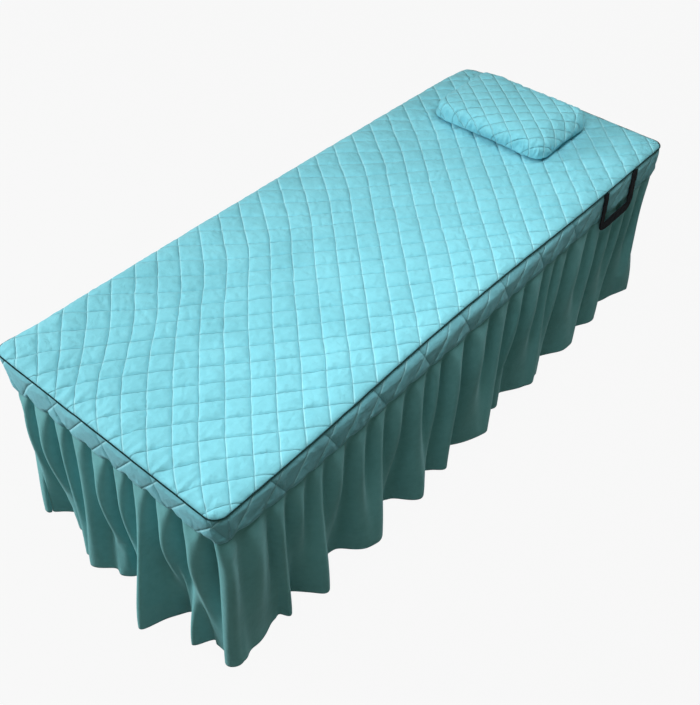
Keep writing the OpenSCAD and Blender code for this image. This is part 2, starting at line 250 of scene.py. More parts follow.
def quilted_cloth():
    """The same cloth with thread and a groove along the quilting lines, which the layer 'squares' counts; one
    family of lines has painted shade along it, and the other a painted highlight beside it.
    """
    s, colour = brushed_cloth("quilted_cloth", QUILT_DARK, QUILT_MID, QUILT_LIGHT)
    split = s.add("SeparateXYZ")
    s.link(s.add("Attribute", attribute_name="squares").outputs["Vector"], split.inputs["Vector"])
    # a painted highlight beside the lines of the other family, patchy with noise
    beside = s.math("PINGPONG", s.math("SUBTRACT", split.outputs["Y"], SHINE_SIDE), 0.5)
    lit = s.math("MULTIPLY", s.near(beside, SHINE_REACH), s.math("MULTIPLY", s.noise(42, 3), 1.9))
    threads, grooves = [], []
    for across, along in (("X", "Y"), ("Y", "X")):
        to_line = s.math("PINGPONG", split.outputs[across], 0.5)
        stitch = s.math("PINGPONG", s.math("MULTIPLY", split.outputs[along], STITCHES), 0.5)
        seen = s.math("ADD", 0.55, s.math("MULTIPLY", stitch, 1.1))
        threads.append(s.math("MULTIPLY", s.near(to_line, THREAD_REACH), seen))
        grooves.append(s.math("POWER", s.near(to_line, GROOVE_REACH), 1.5))
    # painted shade along the lines of one family, broken into stitch-like dashes
    colour = s.mix(s.math("MULTIPLY", threads[0], 0.30, clamp=True), colour, PAINTED_LINE_SHADE)
    # lays the painted highlight over the cloth's colour
    colour = s.mix(s.math("MULTIPLY", lit, 0.66, clamp=True), colour, PAINTED_LINE_HIGHLIGHT)
    s.bump(s.math("SUBTRACT", 1.0, s.math("MAXIMUM", *threads)), 0.0012, 0.7)
    s.bump(s.math("SUBTRACT", 1.0, s.math("MAXIMUM", *grooves)), 0.0024, 0.6)
    s.bump(s.noise(48, 5, roughness=0.6, Distortion=0.8), 0.0060, 0.45)
    s.colour(colour)
    return s.made


def plain_finish(name, roughness, patches, dark, light, grain, bump, stretch=(1, 1, 1), **sockets):
    """Faint patches between two colours, and a fine grain, each given as a noise's scale and detail."""
    s = Shader(name, roughness, **sockets)
    s.colour(s.ramp(s.noise(*patches), (0.3, dark), (0.7, light)))
    s.bump(s.noise(*grain, stretch), *bump)
    return s.made


def cream_vinyl():
    s = Shader("cream_vinyl", 0.45, Specular_IOR_Level=0.4)
    s.colour(s.ramp(s.noise(9, 3), (0.3, (0.60, 0.54, 0.44)), (0.7, (0.68, 0.63, 0.53))))
    grain = s.add("TexVoronoi", Scale=650.0, feature="DISTANCE_TO_EDGE")
    s.link(s.place(), grain.inputs["Vector"])
    s.bump(grain.outputs["Distance"], 0.0006, 0.35)
    return s.made


def raw_plywood():
    s = Shader("raw_plywood", 0.7)
    grain = s.noise(26, 5, (0.12, 2.2, 2.2), 0.6)
    s.colour(s.ramp(grain, (0.28, (0.32, 0.19, 0.09)), (0.5, (0.50, 0.33, 0.17)), (0.75, (0.60, 0.43, 0.25))))
    s.bump(grain, 0.0006, 0.4)
    return s.made


QUILTED, GATHERED, VINYL, PLYWOOD = quilted_cloth(), gathered_cloth_shaded(), cream_vinyl(), raw_plywood()
CORD = plain_finish("dark_piping", 0.8, (600, 2), (0.003, 0.020, 0.022), (0.006, 0.036, 0.038),
                    (1500, 2), (0.0003, 0.6), Specular_IOR_Level=0.12)
WEBBING = plain_finish("black_webbing", 0.95, (400, 3), (0.003, 0.004, 0.005), (0.012, 0.014, 0.016),
                       (500, 3), (0.0012, 0.8), Specular_IOR_Level=0.08)
POWDER = plain_finish("white_powder_coat", 0.42, (14, 3), (0.62, 0.62, 0.60), (0.70, 0.70, 0.685),
                      (900, 2), (0.0003, 0.4), Specular_IOR_Level=0.5)
ZINC = plain_finish("zinc_plate", 0.35, (120, 4), (0.46, 0.45, 0.42), (0.62, 0.62, 0.60),
                    (1200, 2), (0.0002, 0.4), (1, 1, 0.15), Metallic=1.0)
PLASTIC = plain_finish("moulded_black_plastic", 0.55, (90, 3), (0.012, 0.012, 0.013), (0.022, 0.022, 0.023),
                       (1800, 2), (0.0002, 0.5), Specular_IOR_Level=0.45)


def finish_cad_nodes():
    """Gives each CAD node that stays visible the finish of its kind."""
    finishes = {"frame_steel": POWDER, "zinc_steel": ZINC, "black_plastic": PLASTIC, "plywood": PLYWOOD}
    slots = {part["node"]: part["material_slot"] for part in frame["record"]["subparts"]}
    for node, made in frame["nodes"].items():
        if slots.get(node) in finishes:
            made.data.materials.clear()
            made.data.materials.append(finishes[slots[node]])


# ---- quilting, shared by the top, the band and the pillow; a and b count the squares ----

def puff(a, b):
    """Height, from 0 on a quilting line to 1 in the middle of a square."""
    fa, fb = abs(2 * (a % 1.0) - 1), abs(2 * (b % 1.0) - 1)
    return math.sqrt((1 - fa ** 3.0) * (1 - fb ** 3.0))


def pucker(a, b, along):
    """Small creases that run away from the quilting lines."""
    da = min(a % 1.0, 1 - a % 1.0)
    db = min(b % 1.0, 1 - b % 1.0)
    near_a, near_b = math.exp(-(da / 0.16) ** 1.5), math.exp(-(db / 0.16) ** 1.5)
    ra = uneven(b * 7.3, math.floor(a + 0.5) * 3.7, along)
    rb = uneven(a * 7.3, math.floor(b + 0.5) * 5.1 + 40, along)
    return near_a * (1 - near_b) * ra + near_b * (1 - near_a) * rb


def wrinkle(p, size, seed):
    """Soft random hills of a size at a point."""
    q = Vector(p) / size + Vector((seed, seed * 1.7, seed * 0.3))
    return noise.noise(q) + 0.5 * noise.noise(q * 2.1)


def crease(x, y, a, b):
    """Short sharp folds, lying another way in each square."""
    square = Vector((math.floor(a) * 1.37, math.floor(b) * 1.71, 6))
    turn = 3.0 * noise.noise(square)
    u, w = x * math.cos(turn) + y * math.sin(turn), y * math.cos(turn) - x * math.sin(turn)
    line = abs(uneven(u * 52, w * 13, turn * 9))
    return max(0.0, 1 - line / 0.16) * smooth((noise.noise(square * 1.9) + 0.30) / 0.35)


# ---- the outline that the top, band, piping and skirt follow ----
# s runs round it in metres, from the foot end of the right side: right side, head end, left side, foot end

SIDE, END, ARC = TOP_L - 2 * CORNER, TOP_W - 2 * CORNER, math.pi / 2 * CORNER
ROUND = 2 * (SIDE + END) + 4 * ARC
HEAD_START, LEFT_START, FOOT_START = SIDE + ARC, SIDE + END + 2 * ARC, 2 * SIDE + END + 3 * ARC
STRAIGHT_L, STRAIGHT_W = HALF_L - CORNER, HALF_W - CORNER    # where the rounded corners start


def around(s, out=0.0):
    """Point on the cover's outline, and the way it faces there."""
    s %= ROUND
    hl, hw = STRAIGHT_L, STRAIGHT_W
    sides = (((-hl, -hw), SIDE, -90), ((hl, -hw), END, 0), ((hl, hw), SIDE, 90), ((-hl, hw), END, 180))
    for start, length, face in sides:
        face = math.radians(face)
        along = Vector((-math.sin(face), math.cos(face)))
        on_side = min(s, length)
        turn = max(0.0, min(s - length, ARC)) / CORNER
        if s <= length + ARC:
            n = Vector((math.cos(face + turn), math.sin(face + turn)))
            return Vector(start) + along * on_side + n * (CORNER + out), n
        s -= length + ARC
    return Vector((-hl, -hw - CORNER - out)), Vector((0, -1))


def nearest(x, y):
    """How far round the outline the nearest point of it lies."""
    hl, hw = STRAIGHT_L, STRAIGHT_W
    if abs(x) > hl and abs(y) > hw:
        turn = math.atan2(abs(y) - hw, abs(x) - hl) * CORNER
        if x > 0:
            return HEAD_START + END + turn if y > 0 else HEAD_START - turn
        return FOOT_START - turn if y > 0 else FOOT_START + END + turn
    if HALF_L - abs(x) < HALF_W - abs(y):
        return HEAD_START + y + hw if x > 0 else FOOT_START + hw - y
    return x + hl if y < 0 else LEFT_START + hl - x


def edge_distance(x, y):
    """Distance inside the top's rounded outline."""
    dx, dy = HALF_L - abs(x), HALF_W - abs(y)
    if dx < CORNER and dy < CORNER:
        return max(0.0, CORNER - math.hypot(CORNER - dx, CORNER - dy))
    return max(0.0, min(dx, dy))


def seam_height(s):
    """Height of the corded seam; the top rolls over it on the left side."""
    s %= ROUND
    left = smooth((s - (HEAD_START + END)) / 0.15) * smooth((FOOT_START - ARC - s) / 0.10)
    return SEAM_Z - 0.009 * left + 0.0012 * uneven(s * 5, 3, 1)


def band_foot(s):
    """Height of the skirt's seam, a little higher round the corner of the foot end and the right side."""
    s = (s + ROUND / 2) % ROUND - ROUND / 2
    return BAND_FOOT_Z - 0.002 + 0.014 * math.exp(-((s + 0.12) / 0.22) ** 2) + 0.003 * uneven(s * 4, 1, 8)


PULL_FROM = 0.18            # the cover keeps its place this far to each side of the middle line
OVER_LEFT, OVER_HEAD, OVER_BOW = 0.030, 0.014, 0.008    # shift over the left side, less at the head, bowed
DRAWN_IN, DRAWN_UP = 0.010, 0.003           # the middle of the right side's seam
DROOP, DROOP_REACH = (0.008, 0.007, 0.006), 0.075       # the corner between the head end and the left side


def pulled(p):
    """The cover sits a little over the left side and is drawn in on the right one; one head corner droops."""
    up_band = smooth((p.z - BAND_FOOT_Z) / (SEAM_Z - BAND_FOOT_Z))
    over = smooth((p.y - PULL_FROM) / (HALF_W - PULL_FROM)) * up_band
    p.y += (OVER_LEFT - OVER_HEAD * (p.x / TOP_L + 0.5) + OVER_BOW * (1 - (p.x / 0.95) ** 2)) * over
    drawn_in = smooth((-p.y - PULL_FROM) / (HALF_W - PULL_FROM)) * smooth((p.z - 0.560) / (SEAM_Z - 0.560))
    drawn_in *= max(0.0, 1 - ((p.x + 0.1) / 0.66) ** 2) ** 2
    p.y += DRAWN_IN * drawn_in
    p.z += DRAWN_UP * drawn_in
    droop = math.exp(-((p.x - HALF_L) ** 2 + (p.y - HALF_W) ** 2) / DROOP_REACH ** 2) * up_band
    return p - Vector(DROOP) * droop


# ---- quilted top ----

# how far out the sheet is cut roughly, before its outline is
MARGINS = (((1, 0, 0), HALF_L + 0.012), ((-1, 0, 0), HALF_L + 0.048),
           ((0, 1, 0), HALF_W + 0.100), ((0, -1, 0), HALF_W + 0.012))
CORNER_CUTS = 6             # straight cuts that round a corner
EDGE_BAND = 0.05            # the quilting fades out over this distance from the seam
HIDDEN_LIP = 0.003          # how far the top's edge reaches down behind the piping
SLANT, SLANT_WAY = 0.046, (0.64, -0.77)     # the quilting's shift over the foot half of the left side
FOOT_SHIFT, FOOT_SHIFT_REACH = 0.034, 0.075
SINK = 0.0005               # the cloth between the puffs lies this much lower than its seam and its height
EDGE_ROLL, LEFT_ROLL = 0.020, 0.016         # radius of the rounded edge, and what the left side adds to it
LEFT_BULGE = 0.006          # the left side's rounded edge hangs over its seam
PUFF_H, PUCKER_H, CREASE_H = 0.0072, 0.0026, 0.0017
FINE_WRINKLES, BROAD_WAVES = 0.0018, 0.0022
RIPPLES, FOOT_RIPPLES = 0.0026, 0.0085      # where the cloth is drawn up at its seam


def wander(v):
    """The quilting wanders a little, slants over the left side and is drawn sideways at the foot seam."""
    x, y = v.co.x, v.co.y
    near_foot = math.exp(-max(0.0, x + HALF_L) / FOOT_SHIFT_REACH)
    askew = SLANT * smooth((y + 0.02) / 0.50) ** 1.3 * smooth((0.05 - x) / 0.80)
    v.co.x += SLANT_WAY[0] * askew
    v.co.y += SLANT_WAY[1] * askew
    v.co.x += 0.0035 * uneven(x * 5, y * 5, 3) + 0.0016 * uneven(x * 17, y * 17, 9)
    v.co.y += 0.0035 * uneven(x * 5, y * 5, 13) + 0.0016 * uneven(x * 17, y * 17, 19)
    v.co.y += near_foot * (0.010 * uneven(y * 4.5, 7, 2) - FOOT_SHIFT)


def cut_outline(bm):
    """Trims the sheet along its four sides and round its four corners."""
    for sx in (-1, 1):
        for sy in (-1, 1):
            for k in range(CORNER_CUTS):
                t = math.radians(90 * k / (CORNER_CUTS - 1))
                n = Vector((sx * math.cos(t), sy * math.sin(t), 0))
                c = Vector((sx * STRAIGHT_L, sy * STRAIGHT_W, 0)) + n * CORNER
                geom = all_parts(bm)
                if abs(n.x) > 1e-6 and abs(n.y) > 1e-6:
                    near = [v for v in bm.verts if abs(v.co.x) > STRAIGHT_L and abs(v.co.y) > STRAIGHT_W]
                    edges = dict.fromkeys(e for v in near for e in v.link_edges)
                    faces = dict.fromkeys(f for v in near for f in v.link_faces)
                    geom = near + list(edges) + list(faces)
                bmesh.ops.bisect_plane(bm, geom=geom, dist=WELD, plane_co=c, plane_no=n, clear_outer=True)


def top_point(x, y, a, b):
    """Where a point of the flat sheet lies on the padded top."""
    edge = edge_distance(x, y)
    low = seam_height(nearest(x, y)) if edge < EDGE_BAND else SEAM_Z
    left = smooth((y - 0.25) / 0.10)
    roll = EDGE_ROLL + LEFT_ROLL * left
    rise = math.sqrt(1 - (1 - min(1.0, edge / roll)) ** 2)
    inner = smooth(edge / EDGE_BAND)
    p = puff(a, b)
    local = 0.85 + 0.3 * uneven(math.floor(a) * 1.3, math.floor(b) * 1.7, 5)
    height = low - SINK + (TOP_Z - SINK - low) * rise
    height += PUFF_H * p * local * (0.25 + 0.75 * inner) * rise
    height += PUCKER_H * pucker(a, b, 0.5) * inner
    height += FINE_WRINKLES * wrinkle((x, y, 0), 0.022, 11) * (0.2 + 0.8 * p) * inner
    height += BROAD_WAVES * wrinkle((x, y, 0), 0.20, 4) * inner
    by_end = HALF_L - abs(x) < HALF_W - abs(y)
    along, inward = (y, x) if by_end else (x, y)
    ripples = FOOT_RIPPLES if by_end and x < 0 else RIPPLES
    height += ripples * uneven(along * 62, inward * 8, 21) * math.exp(-edge / 0.040) * min(1.0, edge / 0.006)
    height -= CREASE_H * crease(x, y, a, b) * inner * p
    at = pulled(Vector((x, y, SEAM_Z)))
    at.z += height - SEAM_Z
    if left:
        at.y += LEFT_BULGE * left * math.exp(-edge / 0.02) * (1 - math.exp(-edge / 0.003))
    return at


def quilted_top():
    bm = bmesh.new()
    bmesh.ops.create_grid(bm, x_segments=SQUARES * FINE, y_segments=SQUARES * FINE, size=SQUARES / 2)
    skew = Matrix(((math.cos(LINE_A) * STEP_A, math.cos(LINE_B) * STEP_B, 0, 0),
                   (math.sin(LINE_A) * STEP_A, math.sin(LINE_B) * STEP_B, 0, 0), (0, 0, 1, 0), (0, 0, 0, 1)))
    bmesh.ops.transform(bm, matrix=skew, verts=bm.verts[:])
    for n, reach in MARGINS:
        bmesh.ops.bisect_plane(bm, geom=all_parts(bm), dist=WELD, plane_co=Vector(n) * reach, plane_no=n,
                               clear_outer=True)
    back = skew.inverted()
    squares = bm.verts.layers.float_vector.new("squares")
    for v in bm.verts:
        v[squares] = back @ v.co
    for v in bm.verts:
        wander(v)
    cut_outline(bm)
    for v in bm.verts:
        a, b, _ = v[squares]
        v.co = top_point(v.co.x, v.co.y, a, b)
    lip = bmesh.ops.extrude_edge_only(bm, edges=[e for e in bm.edges if e.is_boundary])["geom"]
    for v in only_verts(lip):
        v.co.z -= HIDDEN_LIP
    bmesh.ops.holes_fill(bm, edges=[e for e in bm.edges if e.is_boundary], sides=0)
    face_out(bm)
    return bm


# ---- where the skirt is gathered, in metres round the outline ----

RIGHT_VALLEYS = (0.028, 0.106, 0.175, 0.236, 0.296, 0.374, 0.450, 0.514, 0.592, 0.674, 0.732, 0.835,
                 0.947, 1.034, 1.104, 1.201, 1.251, 1.321, 1.438, 1.515, 1.595, 1.668, 1.735)
RIGHT_HEM = (0.125, 0.190, 0.340, 0.579, 0.735, 0.820, 1.111, 1.337, 1.539, 1.658)
FOOT_VALLEYS = (4.346, 4.409, 4.482, 4.546, 4.617, 4.692, 4.755, 4.830, 4.909, 5.006)
FOOT_HEM = (4.430, 4.690, 4.885, 4.958)
FULLNESS, FOOT_FULLNESS = 1.40, 1.85     # cloth length over the length of the seam it is gathered into
FOOT_GATHERS = 0.75                      # length of seam with the foot end's fullness
GATHER_IN, GATHER_UP = 0.0075, 0.006     # how far a fold draws the seam in and up


def valleys():
    """Where the folds' valleys start at the seam, and where the ones that last to the hem end."""
    rng = np.random.default_rng(11)
    seam, hem, s = list(RIGHT_VALLEYS), list(RIGHT_HEM), RIGHT_VALLEYS[-1]
    last = 0
    while s < FOOT_VALLEYS[0] - 0.10:
        s += rng.uniform(0.064, 0.096)
        seam.append(s)
        last += 1
        if last >= rng.integers(1, 4):
            hem.append(s + rng.uniform(-0.015, 0.015))
            last = 0
    return np.array(seam + list(FOOT_VALLEYS)), np.array(hem + list(FOOT_HEM))


SEAM_FOLDS, HEM_FOLDS = valleys()


def fold_wave(s, starts):
    """-1 in a valley and 1 on the ridge between two, with the width of the fold and its number."""
    k = int(np.searchsorted(starts, s, "right")) - 1
    start = starts[k]
    end = starts[k + 1] if k + 1 < len(starts) else starts[0] + ROUND
    width = end - start if k >= 0 else starts[0] + ROUND - starts[-1]
    phase = ((s - start) % ROUND) / width
    return -math.cos(2 * math.pi * phase), width, k


def fullness(s):
    """Cloth length over seam length at a place on the seam."""
    from_foot = (s - FOOT_VALLEYS[0]) % ROUND
    at_foot = smooth(from_foot / 0.06) * smooth((FOOT_GATHERS - from_foot) / 0.05)
    return FULLNESS + (FOOT_FULLNESS - FULLNESS) * at_foot


def gathering(s):
    """1 where a fold is drawn in at the skirt's seam, 0 between two; the foot end is gathered more."""
    full = (fullness(s % ROUND) - FULLNESS) / (FOOT_FULLNESS - FULLNESS)
    return (0.4 + 0.6 * full) * (0.5 - 0.5 * fold_wave(s % ROUND, SEAM_FOLDS)[0]) ** 3


# ---- band and piping ----

BAND_LINE = math.radians(48)
BAND_STEP = ROUND * math.cos(BAND_LINE) / 60
BAND_CELL, BAND_ROWS, PIPING_CELL, PIPING_SIDES = 0.0045, 22, 0.004, 12
BAND_PUFF, BAND_CROWN, BAND_RIPPLES = 0.0038, 0.0012, 0.0024
PIPING_OUT = 0.0018         # the cord's middle, out from the seam
LOOP_R = 0.8


def on_loop(s):
    """A point on a circle that stands for the outline, so that random values meet where it closes."""
    return Vector((math.cos(2 * math.pi * s / ROUND), math.sin(2 * math.pi * s / ROUND), 0)) * LOOP_R


def ring(cell, rows, place):
    """A closed band round the bed: place(s, t) is its point s metres round and t of the way across."""
    bm = bmesh.new()
    bmesh.ops.create_grid(bm, x_segments=round(ROUND / cell), y_segments=rows, size=0.5)
    squares = bm.verts.layers.float_vector.new("squares")
    for v in bm.verts:
        v.co, v[squares] = place((v.co.x + 0.5) * ROUND, 0.5 - v.co.y)
    weld(bm)
    face_out(bm)
    return bm


def band_point(s, t):
    """A point of the quilted band, from the corded seam at t = 0 to the skirt's seam at t = 1."""
    top, foot = seam_height(s) - 0.001, band_foot(s)
    z = top + (foot - top) * t
    along = s % ROUND * math.cos(BAND_LINE)
    a = (along + 0.5 * (z - foot) * math.sin(BAND_LINE)) / BAND_STEP / 2
    b = (along - 0.75 * (z - foot) * math.sin(BAND_LINE)) / BAND_STEP
    crown = min(1.0, 5.5 * t, 6.0 * (1 - t))
    low, valley = smooth((t - 0.70) / 0.30), gathering(s)
    out = 0.0008 + BAND_PUFF * puff(a, b) * (0.12 + 0.88 * crown) + BAND_CROWN * crown
    out -= GATHER_IN * valley * low
    out += BAND_RIPPLES * uneven(s * 95, z * 24, 4.4) * smooth((t - 0.35) / 0.4) * min(1.0, 8 * (1 - t))
    rough = on_loop(s) + Vector((0, 0, z))
    out += 0.0009 * wrinkle(rough, 0.02, 6) * crown + 0.002 * wrinkle(rough, 0.11, 2) * crown
    at, _ = around(s, out)
    return pulled(Vector((at.x, at.y, z + GATHER_UP * valley * low))), (a, b, 0)


def piping_point(s, t):
    """A point of the round cord in the seam; t runs round its section."""
    loop, turn = on_loop(s), 2 * math.pi * t
    r = PIPING_R * (1 + 0.10 * noise.noise(loop * 60))
    at, n = around(s, PIPING_OUT + 0.0008 * noise.noise(loop * 25))
    z = seam_height(s) + 0.0006 * noise.noise(loop * 30 + Vector((0, 0, 9)))
    point = pulled(Vector((*at, z))) + Vector((n.x, n.y, 0)) * (r * math.cos(turn))
    return point + Vector((0, 0, r * math.sin(turn))), (0, 0, 0)


# ---- gathered skirt ----

CELL = 0.0125               # mesh cell of the skirt's cloth
SKIRT_CUT = 0.482           # depth of the skirt's strip as it is cut
UPPER_FOLD, LOWER_FOLD = 0.23, 0.22         # depth of a fold over its width
DEEPEST = 0.040             # depth that a lower fold's width doesn't take it past
# how far the skirt stands out or in at its hem: all round, at the head and foot ends, just before and
# after the corner where s is 0, and at the far half of the foot end
FLARE, SWAY, HEAD_IN, FOOT_IN = 0.014, 0.012, 0.058, 0.010
FIRST_IN, FIRST_OUT, FAR_FOOT_IN = 0.024, 0.036, 0.034
SEAM_PARTS = 2000
SEAM_STEPS = np.linspace(0, ROUND, SEAM_PARTS + 1)
PART_MIDDLES = SEAM_STEPS[:-1] + ROUND / (2 * SEAM_PARTS)
CUT_STEPS = np.concatenate([[0.0], np.cumsum([fullness(s) * ROUND / SEAM_PARTS for s in PART_MIDDLES])])
CUT_LENGTH = float(CUT_STEPS[-1])


def cut_at(s):
    """How far along the cut strip the cloth lies that is sewn on at s."""
    return float(np.interp(s, SEAM_STEPS, CUT_STEPS))


def near(s, at):
    """1 where s is at a place on the outline, falling off over 7 cm to each side."""
    return math.exp(-(((s - at + 1.5) % ROUND - 1.5) / 0.07) ** 2)


def skirt_point(s, t, deep):
    """A point of the sewn strip, t of the way down, with its folds laid in: many short ones from the seam
    that give way to fewer wide ones at the hem."""
    gather, narrow, k = fold_wave(s, SEAM_FOLDS)
    hang, wide, h = fold_wave(s, HEM_FOLDS)
    if h < 0:       # the fold that crosses the start of the outline
        wide *= 0.62
    grow, merge = 1 - math.exp(-t / 0.13), smooth((t - 0.2) / 0.8)
    extra = fullness(s) - FULLNESS
    steep, point = 1 + 1.35 * extra, math.exp(-(t / 0.12) ** 2)
    gather = gather * (1 - point) + (1 - 2 * (0.5 - 0.5 * gather) ** 3) * point
    if k <= 0:
        gather = 1 - (1 - gather) * 0.4
    corner = h in (-1, len(HEM_FOLDS) - 1)
    near_head = smooth((s - 0.8) / 0.5) if s < HEAD_START else 0.0
    upper = steep * (1 - merge) * grow * UPPER_FOLD * narrow * deep[k] * gather
    lower = (0.45 + 0.55 * steep) * merge * min(DEEPEST, LOWER_FOLD * wide) * deep[h] * hang
    lower *= 0.32 if corner else 1.0
    fold = 0.0005 - GATHER_IN * gathering(s) + (1 - 0.3 * near_head) * (upper + lower)
    out = -0.001 + FLARE * t + SWAY * t * uneven(s * 3.1, 2.0, 5.0) - HEAD_IN * t * near_head
    out -= FOOT_IN * extra / (FOOT_FULLNESS - FULLNESS) * grow
    out -= FIRST_IN * t * near(s, -0.07)
    out += FIRST_OUT * t * near(s, 0.06)
    out -= FAR_FOOT_IN * t * smooth((s - 4.28) / 0.08) * smooth((4.80 - s) / 0.14)
    slide = -0.045 * grow * narrow * math.sin(2 * math.pi * ((s * 7.3) % 1.0))
    at, _ = around(s + slide * 0.3, out + fold)
    sewn_z = band_foot(s) + 0.004 + GATHER_UP * gathering(s)
    return at.x, at.y, sewn_z - (sewn_z - HEM_Z) * t


def skirt_cloth():
    """The skirt's strip as it is sewn on, before it hangs; its layer 'cut' keeps the way along the cut
    strip, the way down and s."""
    deep = np.random.default_rng(5).uniform(0.85, 1.2, 200)
    columns, rows = round(CUT_LENGTH / CELL), round((BAND_FOOT_Z - HEM_Z) / CELL)
    bm = bmesh.new()
    bmesh.ops.create_grid(bm, x_segments=columns, y_segments=rows, size=0.5)
    cut = bm.verts.layers.float_vector.new("cut")
    for v in bm.verts:
        sewn, t = (v.co.x + 0.5) * CUT_LENGTH % CUT_LENGTH, 0.5 - v.co.y
        s = float(np.interp(sewn, CUT_STEPS, SEAM_STEPS)) % ROUND
        v[cut] = (sewn, t, s)
        v.co = skirt_point(s, t, deep)
    weld(bm)
    face_out(bm)
    return bm


def run_cloth(name, bm, cut_places, frames, gravity=1.0, pinned=(), gap=None, **settings):
    """Moves a bmesh as cloth moves: it starts as it is sewn and pulls towards its size as cut."""
    cloth = link_mesh(name, bm)
    cloth.shape_key_add(name="sewn")
    cut = cloth.shape_key_add(name="cut")
    for point, place in zip(cut.data, cut_places):
        point.co = place
    made = cloth.modifiers.new("cloth", "CLOTH")
    if pinned:
        cloth.vertex_groups.new(name="pinned").add(pinned, 1.0, "REPLACE")
        made.settings.vertex_group_mass, made.settings.pin_stiffness = "pinned", 1.0
    for key, value in settings.items():
        setattr(made.settings, key, value)
    made.settings.effector_weights.gravity = gravity
    made.settings.rest_shape_key = cut
    made.collision_settings.use_collision = gap is not None
    if gap is not None:
        made.collision_settings.distance_min = gap
    made.point_cache.frame_start, made.point_cache.frame_end = 1, frames
    for number in range(1, frames + 1):
        scene.frame_set(number)
    moved = cloth.evaluated_get(bpy.context.evaluated_depsgraph_get())
    places = [v.co.copy() for v in moved.data.vertices]
    scene.frame_set(1)
    bpy.data.objects.remove(cloth)
    for v, place in zip(bm.verts, places):
        v.co = place


BLOCK_SIZE, BLOCK_MIDDLE = (1.750, 0.604, 0.52), (0, 0, 0.259)     # the bed that the skirt hangs against
SKIRT_GAP, SKIRT_FRAMES = 0.004, 34


def hang_skirt(bm):
    """Lets the gathered strip hang under its own weight, held by its seam."""
    cut = bm.verts.layers.float_vector["cut"]
    size = [tuple(v[cut]) for v in bm.verts]
    reach = CUT_LENGTH / (2 * math.pi)      # the cut strip closes into a ring
    cut_places = []
    for sewn, t, _ in size:
        turn = 2 * math.pi * sewn / CUT_LENGTH
        cut_places.append((reach * math.sin(turn), -reach * math.cos(turn), -t * SKIRT_CUT))
    block_form = bmesh.new()
    box(block_form, BLOCK_SIZE, BLOCK_MIDDLE)
    block = link_mesh("frame_block", block_form)
    block_form.free()
    block.modifiers.new("collide", "COLLISION")
    block.collision.thickness_outer = SKIRT_GAP
    seam = [i for i, (_, t, _) in enumerate(size) if t < 1e-4]
    run_cloth("skirt_hanging", bm, cut_places, SKIRT_FRAMES, pinned=seam, gap=SKIRT_GAP,
              quality=6, mass=0.08, air_damping=1.5, tension_stiffness=40, compression_stiffness=40,
              shear_stiffness=10, bending_stiffness=2.0, tension_damping=15, compression_damping=15)
    bpy.data.objects.remove(block)


def skirt_panel(whole, start, end):
    """The part of the hanging skirt whose seam runs from start to end."""
    bm = whole.copy()
    cut = bm.verts.layers.float_vector["cut"]
    other = []
    for face in bm.faces:
        along = [v[cut][2] for v in face.verts]
        if max(along) - min(along) > ROUND / 2:
            along = [s + ROUND if s < ROUND / 2 else s for s in along]
        middle = sum(along) / len(along)
        if not any(start <= middle + turn < end for turn in (-ROUND, 0, ROUND)):
            other.append(face)
    bmesh.ops.delete(bm, geom=other, context="FACES")
    return bm


def cut_length(start, end):
    """Length of the cut strip between two places on the seam; a start below 0 lies before its own start."""
    length = cut_at(end) - cut_at(max(0.0, start))
    if start < 0:
        length += CUT_LENGTH - cut_at(start + ROUND)
    return length


# ---- pillow ----

PILLOW_X, PILLOW_Y, PILLOW_L, PILLOW_W = 0.695, 0.050, 0.400, 0.280
PILLOW_Z = 0.6062           # height of the cloth it lies on
PILLOW_UP, PILLOW_DOWN = 0.056, -0.012      # middles of its two panels, above and below its seam
PILLOW_HIGH = 0.074         # its greatest height before the quilting
TURN_AT = 0.74              # where its panels turn down towards the seam, on the way from the middle
PILLOW_CELLS, PILLOW_FRAMES = (56, 78), 18
PILLOW_PUFF, PILLOW_RIPPLES, PILLOW_FOOT_RIPPLES = 0.0046, 0.0060, 0.0105
LINES_ON_SIDES = 0.045      # how far the quilting lines run on down its sides


def turn_down(r):
    """Angle by which a panel has turned down, r of the way from the middle to the seam."""
    return max(0.0, (r - TURN_AT) / (1 - TURN_AT)) * math.pi / 2


def pillow_form(u, w, side):
    """A soft box with rounded corners; u and w run from -1 to 1 across its upper or lower panel."""
    middle = PILLOW_UP if side > 0 else PILLOW_DOWN
    r = max(abs(u), abs(w))
    if r < 1e-6:
        return Vector((0, 0, middle))
    a, b = u / r, w / r
    corner = (abs(a) ** 8 + abs(b) ** 8) ** (-1 / 8)
    turn = turn_down(r)
    reach = min(r, TURN_AT) / TURN_AT * 0.86 + 0.14 * math.sin(turn)
    side_on = 1 - 0.02 * (1 - min(abs(a), abs(b)) ** 2)
    crown = 1 - 0.10 * min(1.0, r / TURN_AT) ** 2
    height = (middle * crown if side > 0 else middle) * math.cos(turn) ** 0.8
    return Vector((PILLOW_W / 2 * a * corner * reach * side_on,
                   PILLOW_L / 2 * b * corner * reach * side_on, height))


def pillow_bag():
    """Two panels joined along their edges; the layer 'flat' keeps each point's u, w and side."""
    bm = bmesh.new()
    bmesh.ops.create_grid(bm, x_segments=PILLOW_CELLS[0], y_segments=PILLOW_CELLS[1], size=1.0)
    flat = bm.verts.layers.float_vector.new("flat")
    for v in bm.verts:
        v[flat] = (v.co.x, v.co.y, 1)
    other = bmesh.ops.duplicate(bm, geom=all_parts(bm))["geom"]
    bmesh.ops.reverse_faces(bm, faces=[part for part in other if isinstance(part, bmesh.types.BMFace)])
    for v in only_verts(other):
        v[flat] = (v[flat][0], v[flat][1], -1)
    for v in bm.verts:
        v.co = pillow_form(*v[flat])
    weld(bm)
    return bm


